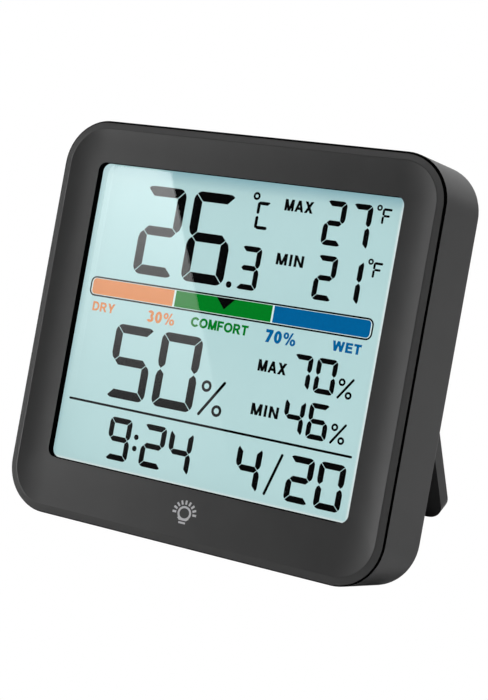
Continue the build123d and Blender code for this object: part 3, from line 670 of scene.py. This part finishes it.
# Materials of the carried nodes
shell = plastic("shell_fine_grain", (0.015, 0.015, 0.0155), 0.42, 8.0, 0.12, 0.4, SHELL_PAINTED_SHADE_Y)
button = plastic("button_matt", (0.035, 0.035, 0.037), 0.6, 12.0, 0.25)
steel = brushed("zinc_steel", (0.55, 0.55, 0.54), 0.35)
spring = brushed("spring_steel", (0.62, 0.62, 0.6), 0.25)
board = board_material()
cell = cell_material()
MATERIALS = {
    "front_bezel": bezel_plastic(),
    "rear_shell": shell,
    "battery_door": shell,
    "stand_frame": plastic("stand_fine_grain", (0.024, 0.024, 0.0245), 0.42, 8.0, 0.12, 0.25),
    "display_lens": clear("lens_clear", (0.99, 1.0, 1.0, 1.0), 0.004),
    "lcd_glass": lcd_material(),
    "display_holder": plastic("holder_white", (0.75, 0.75, 0.73), 0.4),
    "light_guide": clear("guide_clear", (0.93, 0.97, 0.96, 1.0), 0.05),
    "reflector_sheet": plastic("film_white", (0.88, 0.88, 0.88), 0.3, 2.0, 0.05),
    "backlight_leds": plastic("lamp_phosphor", (0.85, 0.78, 0.35), 0.35, 6.0, 0.1),
    "contact_strips": plastic("strip_rubber", (0.30, 0.28, 0.27), 0.75, 4.0, 0.3),
    "main_board": board,
    "sensor_board": board,
    "controller_chip": plastic("resin_black", (0.010, 0.010, 0.010), 0.22, 1.5, 0.3),
    "clock_crystal": steel,
    "board_components": plastic("ceramic_brown", (0.30, 0.20, 0.11), 0.45, 5.0, 0.2),
    "touch_spring": spring,
    "humidity_sensor": plastic("sensor_white", (0.72, 0.72, 0.70), 0.5, 6.0, 0.2),
    "sensor_pins": brushed("pin_brass", (0.8, 0.58, 0.22), 0.25),
    "key_switches": plastic("switch_grey", (0.05, 0.05, 0.05), 0.45),
    "battery_upper": cell,
    "battery_lower": cell,
    "battery_plates": brushed("nickel_plate", (0.7, 0.68, 0.64), 0.22),
    "battery_springs": spring,
    "rubber_feet": plastic("foot_rubber", (0.02, 0.02, 0.02), 0.8, 5.0, 0.5),
    "housing_screws": steel,
    "board_screws": steel,
    "mode_button": button,
    "up_button": button,
    "down_button": button,
    "unit_button": button,
}
for name, material in MATERIALS.items():
    data = frame["nodes"][name].data
    data.materials.clear()
    data.materials.append(material)

black_ink = ink("segment_black", (0.0015, 0.0015, 0.0018))
orange_ink = ink("segment_orange", (0.83, 0.31, 0.115), FIELD_GLOW)
green_ink = ink("segment_green", (0.0, 0.225, 0.018), FIELD_GLOW)
blue_ink = ink("segment_blue", (0.0, 0.134, 0.36), FIELD_GLOW)
pale_ink = ink("segment_pale", (0.70, 0.86, 0.84), PALE_GLOW)
silver_ink = ink("print_silver", (0.5, 0.5, 0.51))
grey_ink = ink("print_grey", (0.35, 0.35, 0.35))

# Figures on the display: left, right, bottom, top, thickness and the height of the crossbar
black = []
for text, x0, x1, z0, z1, thick, middle in (
    # Temperature
    ("2", -30.9, -18.35, 13.7, 36.5, 2.55, 25.1),
    ("6", -16.0, -3.25, 13.7, 36.6, 2.55, 25.1),
    ("3", 0.4, 6.45, 13.8, 24.65, 1.42, None),
    ("2", 21.9, 27.6, 27.4, 38.3, 1.4, None),
    ("7", 29.0, 34.6, 27.4, 38.3, 1.4, None),
    ("2", 22.0, 27.75, 14.1, 25.0, 1.4, None),
    ("1", 29.1, 34.8, 14.1, 25.0, 1.4, None),
    # Humidity
    ("5", -32.5, -20.3, -18.6, 0.35, 2.3, -9.05),
    ("0", -18.1, -5.7, -18.6, 0.35, 2.3, -9.05),
    ("7", 20.5, 25.9, -7.9, 0.65, 1.3, None),
    ("0", 27.0, 32.7, -7.9, 0.65, 1.3, None),
    ("4", 20.4, 26.1, -18.9, -10.2, 1.3, None),
    ("6", 27.15, 32.8, -18.9, -10.2, 1.3, None),
    # Clock and date
    ("9", -29.2, -22.25, -34.2, -23.3, 1.5, None),
    ("2", -18.65, -11.6, -34.2, -23.3, 1.5, None),
    ("4", -10.5, -3.5, -34.2, -23.3, 1.5, None),
    ("4", 9.6, 16.7, -34.5, -23.4, 1.6, None),
    ("2", 24.25, 31.3, -34.6, -23.4, 1.6, None),
    ("0", 32.5, 39.8, -34.7, -23.4, 1.6, None),
):
    black += digit(text, x0, x1, z0, z1, thick, middle)
# Point and colon, and the degree signs
black += disc(-1.5, 14.5, 0.82) + disc(-20.5, -27.3, 0.7) + disc(-20.5, -30.2, 0.7)
black += ring(2.1, 37.1, 1.0, 0.58) + ring(36.2, 37.9, 0.74, 0.44) + ring(36.4, 25.0, 0.74, 0.44)
# The large C of the unit: top segment, two strokes down the left, foot
black += digit("0", 2.75, 6.6, 29.0, 35.9, 0.9)[:1]
for z0, z1 in ((29.65, 31.8), (33.2, 35.25)):
    black += stroke(3.15, z0, 3.15, z1, 0.85)
black += stroke(3.7, 29.42, 6.0, 29.42, 0.85)
# The small F of the unit, twice
for x0, z0, z1 in ((37.1, 34.25, 37.9), (37.2, 21.4, 25.0)):
    mid = (z0 + z1) / 2
    black += stroke(x0 + 0.3, z0 + 0.2, x0 + 0.3, mid - 0.4, 0.6)
    black += stroke(x0 + 0.3, mid + 0.4, x0 + 0.3, z1 - 0.5, 0.6)
    black += stroke(x0 + 0.5, z1 - 0.25, x0 + 2.2, z1 - 0.25, 0.6)
    black += stroke(x0 + 0.7, mid, x0 + 1.8, mid, 0.55)
# Percent signs: middles of both rings, ends and width of the stroke, size of the rings
for upper, lower, line, width, ring_radius, ring_width in (
    ((-2.55, -11.2), (1.5, -16.8), (-3.5, -18.3, 2.5, -9.7), 0.78, 1.46, 0.74),
    ((34.5, -4.2), (36.7, -7.1), (34.0, -7.9, 37.4, -3.3), 0.62, 0.92, 0.54),
    ((34.7, -15.0), (36.9, -17.9), (34.2, -18.7, 37.5, -14.1), 0.62, 0.92, 0.54),
):
    black += ring(*upper, ring_radius, ring_width) + ring(*lower, ring_radius, ring_width)
    black += stroke(*line, width)
# The stroke of the date and the ruled line
black += stroke(18.9, -34.0, 22.05, -24.1, 0.74)
black += stroke(-43.1, -20.85, 40.3, -21.12, 0.6)
flat_piece("display_figures", moved(black), FIGURE_Y, black_ink)


# Comfort bar: outline, pale ground, three fields and the marker

def slanted(shapes):
    """Moves shapes of the bar to where the photograph shows them."""
    x0, x1, z0, z1 = BAR
    return moved([[(x, z - BAR_DROP + (x - x0) / (x1 - x0) * (BAR_RISE + BAR_SPREAD * (z - z0) / (z1 - z0)))
                   for x, z in shape] for shape in shapes])


def inset(distance):
    """The bar's outline, drawn in by a distance."""
    x0, x1, z0, z1 = BAR
    radius = BAR_RADIUS - distance
    return rounded(x0 + distance, x1 - distance, z0 + distance, z1 - distance, radius, radius)


outer, inner = inset(0.0), inset(BAR_LINE)
outline = [[outer[i - 1], outer[i], inner[i], inner[i - 1]] for i in range(len(outer))]
flat_piece("bar_outline", slanted(outline), OUTLINE_Y, black_ink)
flat_piece("bar_ground", slanted([inset(BAR_LINE / 2)]), GROUND_Y, pale_ink)
for name, x0, x1, left, right, material in (
    ("bar_dry", -42.3, -16.9, FIELD_RADIUS, 0.0, orange_ink),
    ("bar_comfort", -16.35, 12.15, 0.0, 0.0, green_ink),
    ("bar_wet", 12.65, 39.4, 0.0, FIELD_RADIUS, blue_ink),
):
    # The points of a corner without a radius fall together, and one of them is kept
    field = []
    for point in rounded(x0, x1, FIELD_LOW, FIELD_HIGH, left, right):
        if not field or math.dist(point, field[-1]) > 1e-6:
            field.append(point)
    flat_piece(name, slanted([field]), FIGURE_Y, material)
flat_piece("bar_marker", slanted([MARKER]), MARKER_Y, black_ink)

# Words on the display: left, right, bottom, top, width of a stem, gap between letters
for name, text, x0, x1, z0, z1, stem, gap, material in (
    ("word_max_t", "MAX", 10.4, 18.35, 34.45, 37.3, 0.27, 0.11, black_ink),
    ("word_min_t", "MIN", 10.7, 18.4, 21.15, 24.0, 0.245, 0.2, black_ink),
    ("word_dry", "DRY", -41.2, -34.2, 2.5, 4.9, 0.24, 0.11, orange_ink),
    ("word_30", "30%", -23.8, -15.4, 2.0, 5.0, 0.27, 0.11, orange_ink),
    ("word_comfort", "COMFORT", -10.5, 6.4, 2.7, 5.2, 0.26, 0.07, green_ink),
    ("word_70", "70%", 11.5, 20.1, 2.1, 5.25, 0.29, 0.11, blue_ink),
    ("word_wet", "WET", 30.15, 38.0, 2.8, 5.25, 0.28, 0.11, blue_ink),
    ("word_max_h", "MAX", 10.95, 18.95, -5.1, -2.25, 0.27, 0.11, black_ink),
    ("word_min_h", "MIN", 11.2, 18.95, -15.85, -13.0, 0.245, 0.2, black_ink),
):
    shapes = word_shapes(text, x0, x1, z0, z1, stem, gap)
    flat_piece(name, moved(shapes), FIGURE_Y, material)

# Touch key print on the dish
bezel = frame["nodes"]["front_bezel"]
bezel_tree = BVHTree.FromPolygons([v.co.copy() for v in bezel.data.vertices],
                                  [list(p.vertices) for p in bezel.data.polygons])


def on_dish(x, z):
    """Depth of a print that lies on the bezel's face."""
    way = (BODY.to_3x3() @ Vector((0, 1, 0))).normalized()
    hit = bezel_tree.ray_cast(at(x, RAY_Y, z), way)[0]
    return (BODY.inverted() @ hit).y / MM - DISH_LIFT


# A bulb with its neck and cap, and the rays round it
icon = bow(BULB_X, BULB_Z, 1.97, 1.76, 0, 360, BULB_LINE, 28)
icon += ribbon([(-1.45, -43.95), (-1.0, -44.42), (1.0, -44.42), (1.6, -43.95)], NECK_LINE)
icon += [[(-1.0, -45.0), (-1.0, -45.45), (1.0, -45.45), (1.0, -45.0)]]
for step in range(RAYS):
    angle = math.radians(180 - 180 / (RAYS - 1) * step)
    ends = [(BULB_X + rx * math.cos(angle), RAYS_Z + rz * math.sin(angle)) for rx, rz in (RAY_START, RAY_END)]
    icon += stroke(*ends[0], *ends[1], RAY_LINE, round_ends=False)
flat_piece("touch_key_print", icon, on_dish, silver_ink)

# Print on the back: middle, width and height of each word
for name, text, cx, cz, wide, tall, body in (
    ("print_mode", "MODE", -22.5, 37.2, 6.6, 1.5, "housing"),
    ("print_up", "+", -7.5, 37.2, 1.6, 1.6, "housing"),
    ("print_down", "-", 7.5, 37.2, 1.6, 0.35, "housing"),
    ("print_unit", "°C/°F", 22.5, 37.2, 6.6, 1.6, "housing"),
    ("print_open", "OPEN", 0.0, -30.5, 7.5, 1.8, "door"),
):
    back_word(name, text, cx, cz, wide, tall, grey_ink, body)
arrow = [(0.0, -36.4), (3.2, -33.2), (-3.2, -33.2)]
flat_piece("print_arrow", [arrow], BACK_PRINT_Y, grey_ink, "door")


# Floor, world and lights

def sheet(name, corners, material):
    """A four-cornered sheet that isn't part of the monitor."""
    mesh = bpy.data.meshes.new(name)
    mesh.from_pydata(corners, [], [(0, 1, 2, 3)])
    mesh.update()
    mesh.materials.append(material)
    made = bpy.data.objects.new(name, mesh)
    bpy.context.scene.collection.objects.link(made)
    return made


def floor_material():
    """Plain white where the camera looks, and a pale matt floor for all other rays."""
    made, tree, shader = new_material("floor_pale")
    feed(tree, shader, {"Base Color": grey(0.7), "Roughness": 0.9})
    path = add(tree, "ShaderNodeLightPath")
    plain = add(tree, "ShaderNodeEmission", {"Color": grey(1.0), "Strength": 1.0})
    show(tree, add(tree, "ShaderNodeMixShader", {
        0: looked_at(tree, path), 1: shader.outputs[0], 2: plain.outputs[0]}))
    return made


def make_world():
    """White where the camera looks and in mirrors behind the monitor, dark in front of it."""
    world = bpy.data.worlds.new("studio")
    bpy.context.scene.world = world
    world.use_nodes = True
    tree = world.node_tree
    tree.nodes.clear()
    out = add(tree, "ShaderNodeOutputWorld")
    way = axes(tree, add(tree, "ShaderNodeTexCoord").outputs["Generated"])[1]
    strength = ramp(tree, way, FRONT_WAY, BACK_WAY, FRONT_LIGHT, BACK_LIGHT)
    room = add(tree, "ShaderNodeBackground", {"Color": grey(1.0), "Strength": strength})
    plain = add(tree, "ShaderNodeBackground", {"Color": grey(1.0), "Strength": 1.0})
    path = add(tree, "ShaderNodeLightPath")
    mirrored_back = times(tree, path.outputs["Is Glossy Ray"], above(tree, way, BACK_WAY))
    both = add(tree, "ShaderNodeMixShader", {
        0: most(tree, looked_at(tree, path), mirrored_back), 1: room.outputs[0], 2: plain.outputs[0]})
    feed(tree, out, {"Surface": both.outputs[0]})


def make_lamp():
    """One square lamp overhead."""
    place, target = Vector((0.1, -0.2, 1.1)), Vector((0.0, 0.0, 0.05))
    data = bpy.data.lights.new("light_top", "AREA")
    data.shape = "SQUARE"
    data.size = 0.5
    data.energy = 8.0
    lamp = bpy.data.objects.new("light_top", data)
    lamp.location = place
    lamp.rotation_euler = (target - place).to_track_quat("-Z", "Y").to_euler()
    bpy.context.scene.collection.objects.link(lamp)


def mirrored(x, z):
    """Where the line of sight through a point of the lens meets the soft box after its reflection."""
    point = Vector((x, LENS_Y, z))
    way = point - CAMERA_AT
    way.y = -way.y
    share = -(BOX_FAR + BOX_WAY.dot(point)) / BOX_WAY.dot(way)
    return point + way * share


def soft_box_corners():
    """The near edge follows the mirrored edge of the glare; the far edge is upright."""
    high_point, low_point = (mirrored(*seen(x, z, LENS_Y)) for x, z in GLARE_EDGE)
    slant = (high_point - low_point) / (high_point.z - low_point.z)
    near_low, near_top = (low_point + slant * (z - low_point.z) for z in (BOX_LOW, BOX_HIGH))
    far = -BOX_WAY * BOX_FAR + Vector((-math.cos(BOX_TURN), math.sin(BOX_TURN), 0.0)) * BOX_REACH
    far_low, far_top = (Vector((far.x, far.y, z)) for z in (BOX_LOW, BOX_HIGH))
    return [at(*corner) for corner in (near_low, near_top, far_top, far_low)]


def soft_box_material():
    """Near part: the glare in the lens. Far part: the sheen on the dish. Both fade towards the top."""
    made, tree, shader = new_material("soft_box_bright")
    tree.nodes.remove(shader)
    x, _, z = axes(tree, coords(tree))
    near = times(tree, math_node(tree, "POWER", ramp(tree, z, *GLARE_HEIGHTS), GLARE_POWER), GLARE_LEVEL)
    far = math_node(tree, "ADD", ramp(tree, z, *FAR_LOW, 0.0, FAR_LOW_LEVEL),
                    ramp(tree, z, *FAR_HIGH, 0.0, FAR_HIGH_LEVEL))
    far = times(tree, far, ramp(tree, x, *FAR_END, 1.0, 0.0))
    level = add(tree, "ShaderNodeMix", {0: ramp(tree, x, *NEAR_TO_FAR), 2: near, 3: far})
    strength = times(tree, level.outputs[0], ramp(tree, z, *BOX_FADE, 1.0, 0.0))
    show(tree, add(tree, "ShaderNodeEmission", {"Color": grey(1.0), "Strength": strength}))
    return made


floor_corners = [(side * FLOOR_HALF, depth * FLOOR_HALF, FLOOR_DROP)
                 for side, depth in ((-1, -1), (1, -1), (1, 1), (-1, 1))]
floor = sheet("floor", floor_corners, floor_material())
make_world()
make_lamp()
card = sheet("soft_box", soft_box_corners(), soft_box_material())
card.visible_camera = False
card.visible_shadow = False

bpy.context.scene.view_settings.view_transform = "Standard"
bpy.context.scene.view_settings.look = "None"
